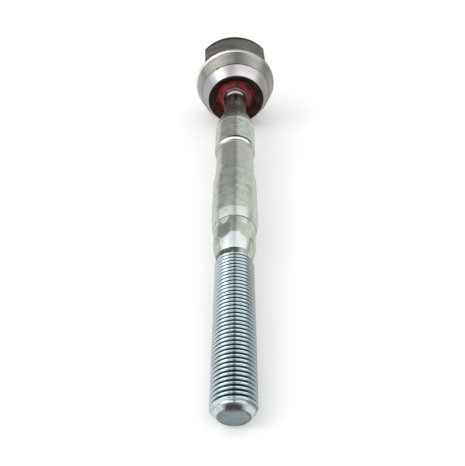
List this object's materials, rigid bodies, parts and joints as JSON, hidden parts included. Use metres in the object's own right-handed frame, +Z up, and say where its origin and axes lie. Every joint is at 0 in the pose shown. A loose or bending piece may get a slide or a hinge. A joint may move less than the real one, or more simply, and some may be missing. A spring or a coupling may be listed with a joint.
{
  "type": "inner tie rod",
  "caption": "Steering rack end: a threaded rod with a boot groove, wrench hexagon and ball, held in a flanged housing with wrench flats and a threaded stud.",
  "frame": {"origin": "centre of the underside of the whole part's box, on the floor it lies on", "axes": "+Y along the rod, from its threaded end towards the housing and its stud; +Z up; +X to the right seen from the threaded end"},
  "size_m": [0.0408, 0.2146, 0.0421],
  "materials": {
    "zinc_plated_steel": "bright zinc plating, worn, with dull forged stretches",
    "forged_steel": "dark forged and phosphated drum, turned band and bright rolled lip",
    "resin": "dark bearing resin, greased"
  },
  "bodies": {
    "rod": {"rod": "zinc_plated_steel"},
    "seat": {"rear_seat": "resin"},
    "housing": {"housing": "forged_steel", "front_seat": "resin"}
  },
  "joints": [
    {"name": "swing", "type": "hinge", "parent": "rod", "child": "seat", "pos_m": [0.0002, 0.07643, 0.01951], "axis": [0.8816, -0.0326, 0.4708], "range_deg": [-26.45, 15.55]},
    {"name": "turn", "type": "hinge", "parent": "seat", "child": "housing", "pos_m": [0.0002, 0.07643, 0.01951], "axis": [-0.0448, 0.9873, 0.1524], "continuous": true}
  ]
}
